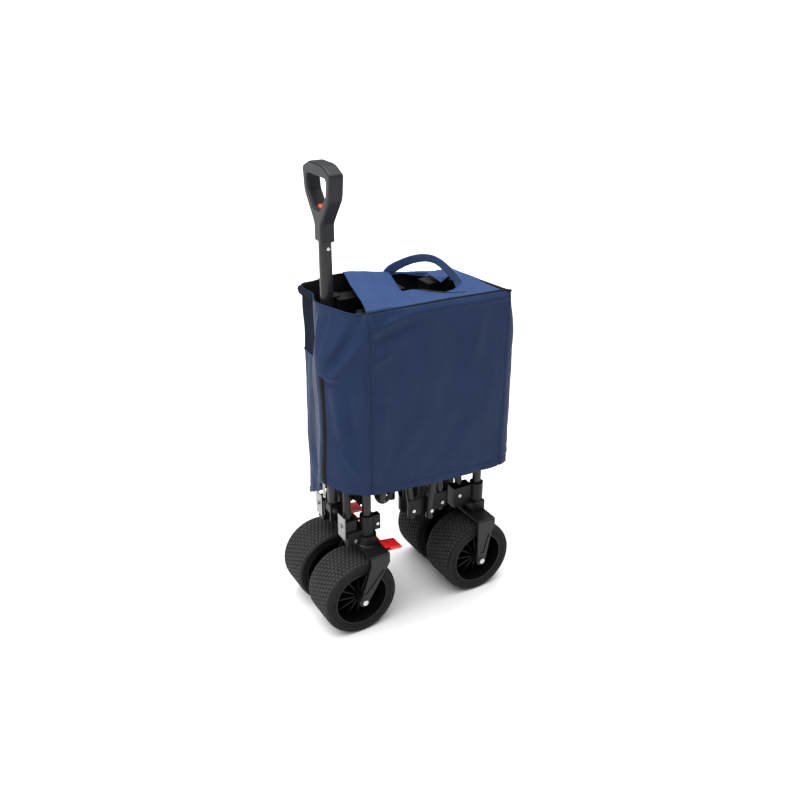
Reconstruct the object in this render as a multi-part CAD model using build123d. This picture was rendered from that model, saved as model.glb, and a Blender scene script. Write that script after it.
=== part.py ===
from build123d import *
import os
from math import atan2, cos, degrees, hypot, pi, radians, sin

# Folded wide-wheel beach cart in its storage cover, standing on its four wheels.
# -X is the front (handle and swivelling wheels), +X the rear, -Y the cart's left side.
# The origin is on the floor, under the middle of the four wheels. Sizes are in mm.

# wheels
wheel_radius = 95.25
wheel_width = 106.0
axle_x = 168.5              # axles stand this far in front of and behind the origin
wheel_y = 73.5              # and the wheels' middles this far to each side
tread_shoulder = 11.0
rim_radius = 69.9
barrel_wall = 4.2
hub_radius = 12.5
rib_count = 12
seat_gap = 0.02
axle_radius = 4.0
bush_radius = 8.0
run_fit = 0.06              # radial clearance of a shaft that turns

# forks
fork_gap = 118.0            # between the two legs
leg_thick = 6.0
plate_top = 212.0
plate_thick = 6.0
plate_length = 50.0
front_plate_x = -124.0
rear_plate_x = 181.0
foot_radius = 13.0
stem_radius = 8.0
gap = 0.4                   # between bodies that move past each other

# corner posts and folding bars
front_post_x = -126.0
rear_post_x = 190.0
post_radius = 11.0
post_wall = 1.5
post_bottom = 252.0
post_top = 785.0
collar_radius = 17.0
bar_radius = 9.5
bar_wall = 1.2
bar_bottom = 262.0
bar_top = 763.0
bracket_bottom = 766.0
outer_layer = 72.0          # the side bars cross in two layers, these far from the middle
inner_layer = 50.0
mid_plate = 61.2            # outer face of the lower middle plate, between the two layers

# pull handle
pole_x = -176.0
pole_radius = 14.0
pole_inner = 12.6
pole_bottom = 300.0
pole_end = 943.0
upper_radius = 12.3
upper_end = 980.0
pivot_x = -182.0
pivot_z = 290.0
grip_depth = 33.0
grip_half = 65
grip_top = 1107.0

# storage cover
cover_half = 132.0
cover_top = 806.0
near_hem = 390.0
far_hem = 256.0
cloth = 3.0
zip_bottom = 405.0
zip_top = 662.0

os.makedirs("parts", exist_ok=True)


def save(name, shape):
    """Writes one sub-part to its own file."""
    export_step(shape, f"parts/{name}.step")


def group(pieces):
    """Several separate solids as one sub-part."""
    return Compound(children=[solid for piece in pieces for solid in piece.solids()])


def along_y(shape):
    """Turns a shape drawn round Z so that it lies round Y."""
    return Rot(90, 0, 0) * shape


def block(x0, x1, y0, y1, z0, z1):
    """A box given by its limits."""
    return Pos((x0 + x1) / 2, (y0 + y1) / 2, (z0 + z1) / 2) * Box(x1 - x0, y1 - y0, z1 - z0)


def rod(x, y, z0, z1, radius):
    """An upright cylinder."""
    return Pos(x, y, (z0 + z1) / 2) * Cylinder(radius, z1 - z0)


def cross_rod(x, y0, y1, z, radius):
    """A cylinder along Y."""
    return Pos(x, (y0 + y1) / 2, z) * along_y(Cylinder(radius, y1 - y0))


def tube_between(start, end, radius, wall):
    """A straight tube from one point to another."""
    a, b = Vector(*start), Vector(*end)
    place = Plane(origin=a, z_dir=b - a).location
    length = (b - a).length
    shell = Cylinder(radius, length) - Cylinder(radius - wall, length)
    return place * Pos(0, 0, length / 2) * shell


def socket(start, end):
    """Room for the lower end of a folding bar that leans from one point to another."""
    a, b = Vector(*start), Vector(*end)
    lean = (b - a).normalized()
    place = Plane(origin=a - lean * 0.3, z_dir=lean).location
    return place * Pos(0, 0, 30) * Cylinder(bar_radius + 0.05, 60)


def hex_bolt(x, y0, y1, z, radius, head_radius, head):
    """A bolt along Y with a hexagon head at y0 and a nut at y1, outside the given span."""
    side = 1 if y1 > y0 else -1
    bolt = cross_rod(x, min(y0, y1), max(y0, y1), z, radius)
    hexagon = extrude(RegularPolygon(head_radius, 6), head)
    for y, way in ((y0, -side), (y1, side)):
        start = y if way < 0 else y + head
        bolt += Pos(x, start, z) * along_y(hexagon)
    return bolt


# ---- wheels ----

def tyre():
    """Wide balloon tyre round the Y axis, with rounded shoulders."""
    middle = (rim_radius + 0.1 + wheel_radius) / 2
    section = Pos(middle, 0) * Rectangle(wheel_radius - rim_radius - 0.1, wheel_width)
    outer = section.vertices().group_by(Axis.X)[-1]
    inner = section.vertices().group_by(Axis.X)[0]
    section = fillet(outer, tread_shoulder)
    section = fillet(section.vertices().filter_by(lambda v: v.X < middle - 5 and abs(v.Y) > 50), 4)
    return revolve(section, Axis.Y)


def rim():
    """Deep dished rim: an outer barrel, a wheel of web and radial ribs, and a long hub seated in it."""
    half = wheel_width / 2 - 2
    inner = rim_radius - barrel_wall
    barrel = Cylinder(rim_radius, 2 * half) - Cylinder(inner, 2 * half)
    web = Cylinder(inner, 5)
    hub = Cylinder(hub_radius, fork_gap - 3)
    rib_length = inner - hub_radius + 2
    rib_profile = Polygon((0, 36), (0, -36), (rib_length, -26), (rib_length, 26), align=None)
    rib = Rot(90, 0, 0) * Pos(0, 0, -1.25) * extrude(rib_profile, 2.5)
    ribs = [Rot(0, 0, i * 360 / rib_count) * Pos(hub_radius - 1, 0, 0) * rib for i in range(rib_count)]
    spokes = web + ribs
    spokes -= Cylinder(inner + 5, fork_gap) - Cylinder(inner - seat_gap, fork_gap)
    spokes -= Cylinder(hub_radius + seat_gap, fork_gap)
    for end in (-1, 1):
        depth = 16
        hub -= Pos(0, 0, end * ((fork_gap - 3) / 2 - depth / 2)) * Cylinder(bush_radius, depth)
    hub -= Cylinder(axle_radius + 0.6, fork_gap)
    return along_y(group([barrel, spokes, hub]))


def bushes():
    """Two plain bushes pressed into the ends of a hub."""
    ring = Cylinder(bush_radius - 0.02, 15.8) - Cylinder(axle_radius + run_fit, 15.8)
    place = (fork_gap - 3) / 2 - 7.9
    return group([along_y(Pos(0, 0, end * place) * ring) for end in (-1, 1)])


# ---- forks ----

def leg_outline(plate_x, hub_x):
    """Side view of a fork leg: full width under the plate, tapering down to a round foot."""
    half = plate_length / 2
    skirt = plate_top - 26
    lean = (plate_x - hub_x) * 0.12
    blade = Polygon((plate_x - half, plate_top), (plate_x - half, skirt),
                    (hub_x - foot_radius + lean, wheel_radius + 6),
                    (hub_x + foot_radius, wheel_radius - 1),
                    (plate_x + half - 9, skirt - 14), (plate_x + half, skirt), (plate_x + half, plate_top),
                    align=None)
    return blade + Pos(hub_x, wheel_radius) * Circle(foot_radius)


def channel_outline(plate_x, hub_x):
    """Shallow tapering channel pressed into the outer face of a leg."""
    half = plate_length / 2
    skirt = plate_top - 34
    return Polygon((plate_x - half + 8, skirt), (hub_x - 5, wheel_radius + 22),
                   (hub_x + 7, wheel_radius + 20), (plate_x + half - 15, skirt - 8), align=None)


def fork(plate_x, hub_x, side):
    """Pressed steel fork over one wheel. side is -1 for the cart's left, 1 for its right."""
    middle = side * wheel_y
    reach = fork_gap / 2 + leg_thick
    shape = block(plate_x - plate_length / 2, plate_x + plate_length / 2, middle - reach, middle + reach,
                  plate_top - plate_thick, plate_top)
    leg = along_y(extrude(leg_outline(plate_x, hub_x), leg_thick))
    shape += Pos(0, middle - fork_gap / 2, 0) * leg
    shape += Pos(0, middle + reach, 0) * leg
    corners = shape.edges().filter_by(Axis.X).group_by(Axis.Z)[-1]
    shape = fillet(corners, 5)
    channel = along_y(extrude(channel_outline(plate_x, hub_x), 2.0))
    outer_face = middle + side * reach
    shape -= Pos(0, outer_face + (2 if side < 0 else 0), 0) * channel
    shape -= cross_rod(hub_x, middle - reach - 1, middle + reach + 1, wheel_radius, axle_radius + 0.05)
    return shape


def axle_bolt(hub_x, side):
    """Axle bolt with its head on the outer leg and a nut on the inner one."""
    middle = side * wheel_y
    reach = fork_gap / 2 + leg_thick
    return hex_bolt(hub_x, middle + side * reach, middle - side * reach, wheel_radius, axle_radius, 7.5, 5.5)


def caster_stem(side):
    """Swivel pin of a front fork and the lower race that it turns on."""
    y = side * wheel_y
    pin = rod(front_post_x, y, plate_top + 0.02, 244, stem_radius)
    race = rod(front_post_x, y, plate_top + 0.02, 216, 21) - rod(front_post_x, y, plate_top, 217, stem_radius + 0.01)
    return group([pin, race])


# ---- parking brakes on the front forks ----

brake_x = front_plate_x + plate_length / 2 + 5.5
brake_z = 205.0
brake_inner = 34.0          # the pedal's bar runs this far to the inner side of the wheel's middle
brake_outer = 41.0          # and this far to the outer side
paddle_width = 38.0


def brake_pin(side):
    """Pin that a brake pedal turns on, held by two lugs of the fork."""
    y = side * wheel_y
    inner, outer = y - side * (brake_inner + 9), y + side * (brake_outer + 9)
    pin = cross_rod(brake_x, min(inner, outer), max(inner, outer), brake_z, 3)
    head = cross_rod(brake_x, outer - 1.5, outer + 1.5, brake_z, 5)
    return pin + head


def brake_lugs(side):
    """Two lugs on the back of the fork's plate for the brake pin."""
    y = side * wheel_y
    lugs = []
    for offset in (-side * (brake_inner + 5), side * (brake_outer + 5)):
        lug = block(front_plate_x + plate_length / 2 - 2, brake_x + 5, y + offset - 2, y + offset + 2,
                    brake_z - 5, plate_top - 1)
        lugs.append(lug - cross_rod(brake_x, y + offset - 3, y + offset + 3, brake_z, 3.1))
    return lugs


def brake_pedal(side):
    """Foot pedal, its bar along the back of the fork, and the shoe under it that reaches the tyre."""
    y = side * wheel_y
    inner, outer = y - side * brake_inner, y + side * brake_outer
    low, high = min(inner, outer), max(inner, outer)
    bar = cross_rod(brake_x, low, high, brake_z, 5)
    tread = Polygon((0, -4.5), (37, -8), (43, -6), (38, -1), (0, 4.5), align=None)
    edge = outer if side > 0 else outer + paddle_width
    paddle = Pos(brake_x, edge, brake_z) * along_y(extrude(tread, paddle_width))
    shoe = block(brake_x - 4, brake_x + 1, y - 11, y + 11, 168, brake_z)
    shape = bar + paddle + shoe
    return shape - cross_rod(brake_x, low - 1, high + 1, brake_z, 3 + run_fit)


# ---- frame ----

# lower and upper ends of the crossed bars at the front and rear, by the side where they start
front_bars = {-1: ((-171, -60, bar_bottom), (-118, 45, bar_top)),
              1: ((-166, 60, bar_bottom), (-93, -50, bar_top))}
rear_bars = {-1: ((148, -60, bar_bottom), (148, 50, bar_top)),
             1: ((172, 60, bar_bottom), (172, -50, bar_top))}


def front_knuckle(side):
    """Lower front corner casting: swivel housing, post collar and the block that holds a folding bar."""
    y = side * wheel_y
    shape = rod(front_post_x, y, 216 + gap, 240, 23)
    shape += rod(front_post_x, y, 240, 292, collar_radius)
    shape += block(-180, front_post_x, *sorted((side * 80, side * 52)), 222, 256)
    shape += block(-184, -154, *sorted((side * 75, side * 45)), 240, 286)
    shape += block(front_post_x, -92, *sorted((side * 80, side * 64)), 246, 286)
    shape -= rod(front_post_x, y, post_bottom, 293, post_radius + 0.03)
    shape -= rod(front_post_x, y, 216, 248, stem_radius + run_fit)
    return shape - socket(*front_bars[side])


def rear_knuckle(side):
    """Lower rear corner casting, bolted on the fixed fork."""
    y = side * wheel_y
    shape = block(168, 205, *sorted((side * 92, side * 50)), plate_top + 0.02, 240)
    shape += rod(rear_post_x, y, 236, 290, collar_radius)
    shape += block(122, 175, *sorted((side * 76, side * 46)), 232, 286)
    shape -= rod(rear_post_x, y, post_bottom, 291, post_radius + 0.03)
    return shape - socket(*rear_bars[side])


def corner_post(x, side):
    """Upright corner tube."""
    return tube_between((x, side * wheel_y, post_bottom), (x, side * wheel_y, post_top), post_radius, post_wall)


def upper_bracket(x, arm, side):
    """Cap of a corner post with an arm over the ends of the folding bars beside it."""
    y = side * wheel_y
    shape = rod(x, y, 742, 795, collar_radius)
    shape += block(*sorted((x, arm)), *sorted((side * 84, side * 38)), bracket_bottom, 792)
    return shape - rod(x, y, 741, post_top, post_radius + 0.03)


def side_bars(side):
    """Two crossed pairs of folding bars of one long side, standing nearly upright."""
    ends = ((outer_layer, -84, -12, 318), (inner_layer, 13, -70, bar_bottom),
            (outer_layer, 52, 118, bar_bottom), (inner_layer, 96, 30, bar_bottom))
    return group([tube_between((low, side * y, z), (high, side * y, bar_top), bar_radius, bar_wall)
                  for y, low, high, z in ends])


def end_bars(ends):
    """Crossed pair of folding bars of one short end."""
    return group([tube_between(low, high, bar_radius, bar_wall) for low, high in ends.values()])


def mid_brackets():
    """Lower and upper brackets in the middle of each long side."""
    pieces = []
    for side in (-1, 1):
        pieces.append(block(0, 108, *sorted((side * (mid_plate - 1), side * mid_plate)), 236, 280))
        pieces.append(block(-26, 44, *sorted((side * 84, side * 38)), bracket_bottom, 792))
    return group(pieces)


def bar_ends(side):
    """Moulded plugs in the lower ends of the side bars."""
    return [rod(x, side * y, z - 34, z, bar_radius) for x, y, z in
            ((13, inner_layer, bar_bottom), (52, outer_layer, bar_bottom), (96, inner_layer, bar_bottom))]


def rivets():
    """Rivet heads of the folding bars and brackets, on both sides."""
    pieces = []
    for side in (-1, 1):
        for x, y in ((13, mid_plate), (52, outer_layer + bar_radius), (96, mid_plate)):
            pieces.append(cross_rod(x, *sorted((side * y, side * (y + 2.2))), 250, 4.5))
        face = side * 76
        pieces.append(cross_rod(138, *sorted((face, face + side * 2.2)), 264, 4.5))
        pieces.append(cross_rod(-160, *sorted((side * 80, side * 82.2)), 232, 4.5))
        pieces.append(cross_rod(-100, *sorted((side * 80, side * 82.2)), 262, 4))
    return group(pieces)


def front_plates():
    """Steel plates bolted on the front of the two front castings."""
    pieces = []
    for side in (-1, 1):
        plate = block(-187, -184, *sorted((side * 76, side * 44)), 240, 299)
        bolt = Pos(-189, side * 61, 272) * Rot(0, 90, 0) * Cylinder(5, 4)
        pieces.append(plate + bolt)
    return group(pieces)


def floor_linkage():
    """Floor hub under the folded bed, with its four folded spokes."""
    hub = rod(32, 0, 222, 262, 24)
    spokes = [tube_between((32 + dx, dy, 262), (32 + dx * 1.6, dy * 1.4, 480), 7, 1.2)
              for dx, dy in ((-14, -12), (14, -12), (14, 12), (-14, 12))]
    return group([hub] + spokes)


def bed_fabric():
    """The cart's folded fabric bed, a flat bundle between the side bars."""
    return fillet(block(-72, 124, -36, 36, 486, 762).edges().filter_by(Axis.Z), 16)


# ---- pull handle ----

def handle_bracket():
    """Bent steel bracket between the front castings with two ears for the handle's pivot."""
    shape = block(-160, -157, -44.8, 44.8, 262, 284)
    for side in (-1, 1):
        shape += block(-194, -157, *sorted((side * 18, side * 15)), 262, 302)
    return shape - cross_rod(pivot_x, -19, 19, pivot_z, axle_radius + 0.02)


def handle_foot():
    """Plug in the lower end of the pole, with the eye that turns on the pivot bolt."""
    eye = block(-192, -162, -14.4, 14.4, pivot_z - 11, pole_bottom + 6)
    eye = fillet(eye.edges().filter_by(Axis.Y), 5)
    plug = rod(pole_x, 0, pole_bottom, 334, pole_inner - 0.1)
    ring = rod(pole_x, 0, pole_bottom, 340, pole_radius + 1) - rod(pole_x, 0, pole_bottom, 341, pole_inner - 0.1)
    return (eye - ring + plug) - cross_rod(pivot_x, -15, 15, pivot_z, axle_radius + run_fit)


def pole_lower():
    """Outer tube of the telescopic pole, with the hole of its snap button."""
    shape = tube_between((pole_x, 0, pole_bottom), (pole_x, 0, pole_end - gap), pole_radius, pole_radius - pole_inner)
    return shape - cross_rod(pole_x, -16, 0, 929, 4.3)


def snap_button():
    """Round snap button in the wall of the outer tube."""
    return fillet(cross_rod(pole_x, -17.4, -14.2, 929, 3.9).edges().group_by(Axis.Y)[0], 1.5)


def grip_profile():
    """Front view of the D grip: neck, flared sides and an arched top, with the finger opening."""
    half, neck = grip_half, grip_depth / 2
    outline = Polygon((-neck, pole_end), (neck, pole_end), (neck, 981), (half - 6, 1040), (half, 1091),
                      (30, grip_top), (-30, grip_top), (-half, 1091), (6 - half, 1040), (-neck, 981), align=None)
    for height, radius in ((981, 26), (1040, 40), (1091, 9), (grip_top, 50)):
        outline = fillet(outline.vertices().filter_by(lambda v: abs(v.Y - height) < 0.1), radius)
    opening = Polygon((-13, 1013), (13, 1013), (40, 1046), (45, 1080), (-45, 1080), (-40, 1046), align=None)
    return outline - fillet(opening.vertices(), 9)


def grip():
    """Both shells of the grip as one solid, with room for the tube, the button and its spring."""
    upright = Plane(origin=(pole_x - grip_depth / 2, 0, 0), x_dir=(0, 1, 0), z_dir=(1, 0, 0))
    shape = upright * extrude(grip_profile(), grip_depth)
    ends = shape.edges().filter_by(Plane.YZ).group_by(Axis.X)
    shape = fillet(ends[0] + ends[-1], 5)
    shape -= rod(pole_x, 0, pole_end - 1, upper_end + 0.1, upper_radius + 0.05)
    shape -= rod(pole_x, 0, upper_end, 993, 5.6)
    return shape - block(pole_x - 8.3, pole_x + 8.3, -10.3, 10.3, 991.5, 1016)


screw_places = ((-54, 1085), (54, 1085), (-22, 1000), (22, 1000))


def screw_bodies(radius, deep):
    """Screws sunk in the front of the grip, at the given radius and depth."""
    front = pole_x - grip_depth / 2 + 2
    return [Pos(front + deep / 2, y, z) * Rot(0, 90, 0) * Cylinder(radius, deep) for y, z in screw_places]


def release_button():
    """Sprung release button in the lower edge of the finger opening."""
    shape = block(pole_x - 7.9, pole_x + 7.9, -9.9, 9.9, 996, 1020)
    return fillet(shape.edges().group_by(Axis.Z)[-1], 3)


def button_spring():
    """Coil spring under the release button."""
    coil = Helix(pitch=2.4, height=9.6, radius=4)
    start = Plane(origin=coil @ 0, z_dir=coil % 0)
    wire = sweep(start * Circle(0.45), coil)
    return Pos(pole_x, 0, 985.8) * wire


# ---- storage cover ----

def cover_outline(inset=0.0):
    """Plan of the cover: flat near side, a full front round the handle, a fuller rear."""
    side = cover_half - inset
    front, rear = -226 + inset, 252 - inset
    return make_face([
        ThreePointArc((-143 + inset / 2, -side), (-197 + inset * 0.7, -101 + inset * 0.7), (front + 1, -40)),
        ThreePointArc((front + 1, -40), (front, 6), (-207 + inset, 70)),
        ThreePointArc((-207 + inset, 70), (-193 + inset * 0.8, 108 - inset * 0.3), (-164, side)),
        Line((-164, side), (228 - inset, side)),
        ThreePointArc((228 - inset, side), (245 - inset * 0.8, 124 - inset * 0.7), (rear, 104)),
        Line((rear, 104), (rear, -96)),
        ThreePointArc((rear, -96), (240 - inset * 0.8, -122 + inset * 0.7), (206, -side)),
        Line((206, -side), (-143 + inset / 2, -side))])


def cover_shell():
    """Cover cloth: an open-bottomed shell whose roof has an opening for the pole and one in the middle."""
    shape = Pos(0, 0, far_hem) * extrude(cover_outline(), cover_top - far_hem)
    shape -= Pos(0, 0, far_hem - 1) * extrude(cover_outline(cloth), cover_top - cloth - far_hem + 1)
    hem_cut = Polygon((-cover_half - 5, 200), (cover_half + 5, 200), (cover_half + 5, far_hem),
                      (cover_half - 12, far_hem), (-46, near_hem), (-cover_half - 5, near_hem), align=None)
    upright = Plane(origin=(-300, 0, 0), x_dir=(0, 1, 0), z_dir=(1, 0, 0))
    shape -= upright * extrude(hem_cut, 600)
    front_part = Polygon((-240, -124), (-128, -124), (-96, 106), (-240, 106), align=None)
    pole_opening = cover_outline(cloth + 1) & front_part
    hand_opening = fillet(Polygon((-8, -14), (150, -14), (178, 20), (172, 104), (30, 104), align=None).vertices(), 12)
    for opening in (pole_opening, hand_opening):
        shape -= Pos(0, 0, cover_top - 10) * extrude(opening, 20)
    return shape


def cover_flap():
    """Broad band sewn across the roof between its two openings."""
    band = Polygon((-124, -128), (-26, -128), (28, 128), (-92, 128), align=None)
    return Pos(0, 0, cover_top + 0.02) * extrude(band, 1.6)


def zip_frame():
    """Point and outward direction of the zip on the cover's front."""
    arc = ThreePointArc((-143, -cover_half), (-197, -101), (-225, -40))
    point, tangent = arc @ 0.84, arc % 0.84
    return point, Vector(tangent.Y, -tangent.X).normalized() * -1


def zip_piece(width, thick, low, high, lift):
    """A flat piece lying on the cover's front, along the zip."""
    point, outward = zip_frame()
    turn = degrees(atan2(outward.Y, outward.X))
    middle = point + outward * (lift + thick / 2)
    return Pos(middle.X, middle.Y, (low + high) / 2) * Rot(0, 0, turn) * Box(thick, width, high - low)


def zip_pull():
    """Pull tab of the zip slider, hanging with a hole at its free end."""
    point, outward = zip_frame()
    turn = degrees(atan2(outward.Y, outward.X))
    middle = point + outward * 8.6
    tab = Pos(middle.X, middle.Y, zip_bottom - 22) * Rot(0, 0, turn) * Box(1.8, 7, 36)
    hole = Pos(middle.X, middle.Y, zip_bottom - 33) * Rot(0, 0, turn) * Rot(0, 90, 0) * Cylinder(2, 6)
    return tab - hole


strap_start = (52.0, 122.0)     # plan positions of the carry strap's sewn ends
strap_end = (160.0, -20.0)
strap_rise = 42.0
strap_width = 25.0


def carry_strap():
    """Webbing loop sewn on the roof across the middle opening."""
    span = hypot(strap_end[0] - strap_start[0], strap_end[1] - strap_start[1])
    turn = degrees(atan2(strap_end[1] - strap_start[1], strap_end[0] - strap_start[0]))
    arch = ThreePointArc((0, 0), (span / 2, strap_rise), (span, 0))
    inner = ThreePointArc((3.5, 0), (span / 2, strap_rise - 2.4), (span - 3.5, 0))
    band = make_face([arch, Line(arch @ 1, inner @ 1), inner, Line(inner @ 0, arch @ 0)])
    loop = Rot(90, 0, 0) * Pos(0, 0, -strap_width / 2) * extrude(band, strap_width)
    place = Pos(strap_start[0], strap_start[1], cover_top + 0.02)
    return place * Rot(0, 0, turn) * loop


# ---- write the sub-parts ----

corners = {"front_left": (-axle_x, -1), "front_right": (-axle_x, 1),
           "rear_left": (axle_x, -1), "rear_right": (axle_x, 1)}

for corner, (hub_x, side) in corners.items():
    place = Pos(hub_x, side * wheel_y, wheel_radius)
    save(f"tyre_{corner}", place * tyre())
    save(f"rim_{corner}", place * rim())
    save(f"wheel_bushes_{corner}", place * bushes())
    front = hub_x < 0
    body = fork(front_plate_x if front else rear_plate_x, hub_x, side)
    if front:
        for lug in brake_lugs(side):
            body += lug
    save(f"fork_{corner}", body)
    save(f"knuckle_{corner}", front_knuckle(side) if front else rear_knuckle(side))
    save(f"corner_post_{corner}", corner_post(front_post_x if front else rear_post_x, side))

for hand, side in (("left", -1), ("right", 1)):
    save(f"axle_bolt_front_{hand}", axle_bolt(-axle_x, side))
    save(f"caster_stem_{hand}", caster_stem(side))
    save(f"brake_pedal_{hand}", brake_pedal(side))
    save(f"brake_pin_{hand}", brake_pin(side))
    save(f"side_bars_{hand}", group([side_bars(side)] + bar_ends(side)))

save("axle_bolts_rear", group([axle_bolt(axle_x, side) for side in (-1, 1)]))
save("upper_brackets", group([upper_bracket(x, arm, side) for x, arm in
                              ((front_post_x, -58), (rear_post_x, 106)) for side in (-1, 1)]))
save("mid_brackets", mid_brackets())
save("end_bars_front", end_bars(front_bars))
save("end_bars_rear", end_bars(rear_bars))
save("rivets", rivets())
save("front_plates", front_plates())
save("floor_linkage", floor_linkage())
save("bed_fabric", bed_fabric())

whole_grip = grip()
for screw in screw_bodies(3.3, 12):
    whole_grip -= screw
save("handle_bracket", handle_bracket())
save("handle_pivot_bolt", hex_bolt(pivot_x, -18, 18, pivot_z, axle_radius, 7, 5))
save("handle_foot", handle_foot())
save("pole_lower", pole_lower())
save("pole_upper", tube_between((pole_x, 0, 345), (pole_x, 0, upper_end), upper_radius, 1.3))
save("snap_button", snap_button())
save("grip_front", whole_grip & block(-220, pole_x, -80, 80, 930, 1120))
save("grip_rear", whole_grip & block(pole_x, -130, -80, 80, 930, 1120))
save("grip_screws", group(screw_bodies(3.2, 11.9)))
save("release_button", release_button())
save("button_spring", button_spring())

save("cover_shell", cover_shell())
save("cover_flap", cover_flap())
save("zip_tape", zip_piece(16, 1.2, zip_bottom - 4, zip_top, 0.6))
save("zip_slider", zip_piece(9, 4.2, zip_bottom - 6, zip_bottom + 6, 2.6))
save("zip_pull", zip_pull())
save("carry_strap", carry_strap())
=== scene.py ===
import math

import bmesh
import bpy
from mathutils import Matrix, Vector, noise


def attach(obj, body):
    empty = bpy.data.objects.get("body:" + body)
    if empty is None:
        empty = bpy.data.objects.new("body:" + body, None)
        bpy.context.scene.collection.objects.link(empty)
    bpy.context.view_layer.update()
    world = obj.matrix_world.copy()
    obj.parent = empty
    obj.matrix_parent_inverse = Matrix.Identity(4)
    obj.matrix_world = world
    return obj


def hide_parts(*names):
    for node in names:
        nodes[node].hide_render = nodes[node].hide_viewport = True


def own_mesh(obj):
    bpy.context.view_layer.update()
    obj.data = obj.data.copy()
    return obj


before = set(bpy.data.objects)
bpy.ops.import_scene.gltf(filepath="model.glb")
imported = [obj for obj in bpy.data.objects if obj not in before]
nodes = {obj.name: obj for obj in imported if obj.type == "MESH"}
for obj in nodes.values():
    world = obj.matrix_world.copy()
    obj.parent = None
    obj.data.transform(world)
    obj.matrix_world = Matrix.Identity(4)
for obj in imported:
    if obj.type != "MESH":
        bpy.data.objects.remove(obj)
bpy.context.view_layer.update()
mm = 0.001
scene = bpy.context.scene


# small helpers

def clamp(value, low=0.0, high=1.0):
    return max(low, min(high, value))


def smooth(low, high, value):
    t = clamp((value - low) / (high - low))
    return t * t * (3 - 2 * t)


def mix(a, b, t):
    return a + (b - a) * t


def splineAt(a, b, c, d, f):
    # a smooth step f of the way from b to c, with a before and d after them
    return 0.5 * (2 * b + (c - a) * f + (2 * a - 5 * b + 4 * c - d) * f ** 2 + (3 * b - a - 3 * c + d) * f ** 3)


def evenly(points, count):
    # resamples an open line to evenly spaced points
    lengths = [0.0]
    for a, b in zip(points, points[1:]):
        lengths.append(lengths[-1] + (b - a).length)
    found, i = [], 0
    for k in range(count):
        want = lengths[-1] * k / (count - 1)
        while i < len(points) - 2 and lengths[i + 1] < want:
            i += 1
        span = max(lengths[i + 1] - lengths[i], 1e-9)
        found.append(points[i].lerp(points[i + 1], clamp((want - lengths[i]) / span)))
    return found


def newPiece(name, bm, material, body, replaced=(), angle=None):
    # turns a bmesh into a finished piece that rides on a body
    mesh = bpy.data.meshes.new(name)
    bm.to_mesh(mesh)
    bm.free()
    piece = bpy.data.objects.new(name, mesh)
    scene.collection.objects.link(piece)
    for item in (material if isinstance(material, (list, tuple)) else [material]):
        mesh.materials.append(item)
    mesh.polygons.foreach_set("use_smooth", [True] * len(mesh.polygons))
    if angle:
        mesh.set_sharp_from_angle(angle=math.radians(angle))
    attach(piece, body)
    if replaced:
        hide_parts(*replaced)
    return piece


def addRod(bm, start, end, radius, sides):
    start, end = Vector(start), Vector(end)
    turn = (end - start).to_track_quat("Z", "Y").to_matrix().to_4x4()
    place = Matrix.Translation((start + end) / 2) @ turn
    bmesh.ops.create_cone(bm, cap_ends=True, segments=sides, radius1=radius, radius2=radius,
                          depth=(end - start).length, matrix=place)


def lineTube(name, points, radius, material, body):
    # a round binding along a line of points
    curve = bpy.data.curves.new(name, "CURVE")
    curve.dimensions = "3D"
    spline = curve.splines.new("POLY")
    spline.points.add(len(points) - 1)
    for target, point in zip(spline.points, points):
        target.co = (*point, 1)
    curve.bevel_depth = radius
    curve.bevel_resolution = 2
    curve.use_fill_caps = True
    holder = bpy.data.objects.new(name + "Line", curve)
    scene.collection.objects.link(holder)
    mesh = bpy.data.meshes.new_from_object(holder)
    bpy.data.objects.remove(holder)
    bm = bmesh.new()
    bm.from_mesh(mesh)
    bpy.data.meshes.remove(mesh)
    return newPiece(name, bm, material, body)


def stitchRow(bm, points, spacing, length, thick):
    # short raised threads along a line
    count = max(2, int(sum((b - a).length for a, b in zip(points, points[1:])) / spacing))
    line = evenly(points, count)
    for a, b in zip(line, line[1:]):
        way = (b - a).normalized()
        middle = (a + b) / 2
        addRod(bm, middle - way * length / 2, middle + way * length / 2, thick, sides=5)


# materials

def material(name, color, roughness, metallic=0.0, **extra):
    made = bpy.data.materials.new(name)
    made.use_nodes = True
    shader = made.node_tree.nodes["Principled BSDF"]
    shader.inputs["Base Color"].default_value = (*color, 1)
    shader.inputs["Roughness"].default_value = roughness
    shader.inputs["Metallic"].default_value = metallic
    for key, value in extra.items():
        shader.inputs[key].default_value = value
    return made, made.node_tree, shader


def node(tree, kind, **settings):
    made = tree.nodes.new(kind)
    for key, value in settings.items():
        if key in made.inputs:
            made.inputs[key].default_value = value
        else:
            setattr(made, key, value)
    return made


def objectNoise(tree, scale, detail=3.0, roughness=0.5):
    where = node(tree, "ShaderNodeTexCoord")
    pattern = node(tree, "ShaderNodeTexNoise", Scale=scale, Detail=detail, Roughness=roughness)
    tree.links.new(where.outputs["Object"], pattern.inputs["Vector"])
    return pattern


def varyColor(tree, shader, pattern, dark, light):
    # colour that drifts between two shades with a pattern
    ramp = node(tree, "ShaderNodeMix", data_type="RGBA")
    ramp.inputs[6].default_value = (*dark, 1)
    ramp.inputs[7].default_value = (*light, 1)
    tree.links.new(pattern.outputs[0], ramp.inputs[0])
    tree.links.new(ramp.outputs[2], shader.inputs["Base Color"])
    return ramp


def varyRoughness(tree, shader, pattern, low, high):
    span = node(tree, "ShaderNodeMapRange")
    span.inputs["To Min"].default_value = low
    span.inputs["To Max"].default_value = high
    tree.links.new(pattern.outputs[0], span.inputs["Value"])
    tree.links.new(span.outputs[0], shader.inputs["Roughness"])


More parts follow.
